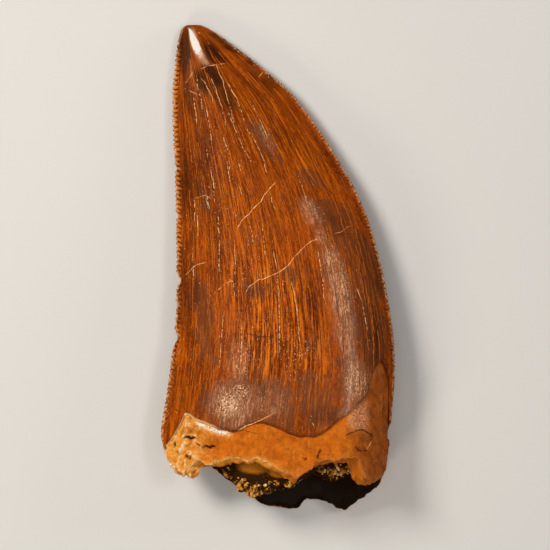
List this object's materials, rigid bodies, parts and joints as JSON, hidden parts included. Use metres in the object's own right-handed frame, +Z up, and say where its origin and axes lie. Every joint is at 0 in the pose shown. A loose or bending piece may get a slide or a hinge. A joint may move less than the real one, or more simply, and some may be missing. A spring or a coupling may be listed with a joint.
{
  "type": "carcharodontosaurus tooth",
  "caption": "Fossil tooth of a large meat-eating dinosaur, lying on its side: a serrated, blade-shaped enamel crown on a broken root with a crust of crystals in its pulp cavity.",
  "frame": {"origin": "on the surface that the tooth lies on, under the middle of its bounding box", "axes": "+X from the distal to the mesial edge, +Y from the broken base to the tip, +Z up through the two faces"},
  "size_m": [0.0292, 0.0606, 0.0116],
  "materials": {
    "tooth": "glossy orange-brown fossil enamel with fine lengthwise streaks and hairline cracks, above a satin ochre root",
    "crystal_crust": "honey and gold grains with glossy faces"
  },
  "bodies": {
    "root": {"tooth": "tooth", "cavity_crust": "crystal_crust"}
  },
  "joints": []
}
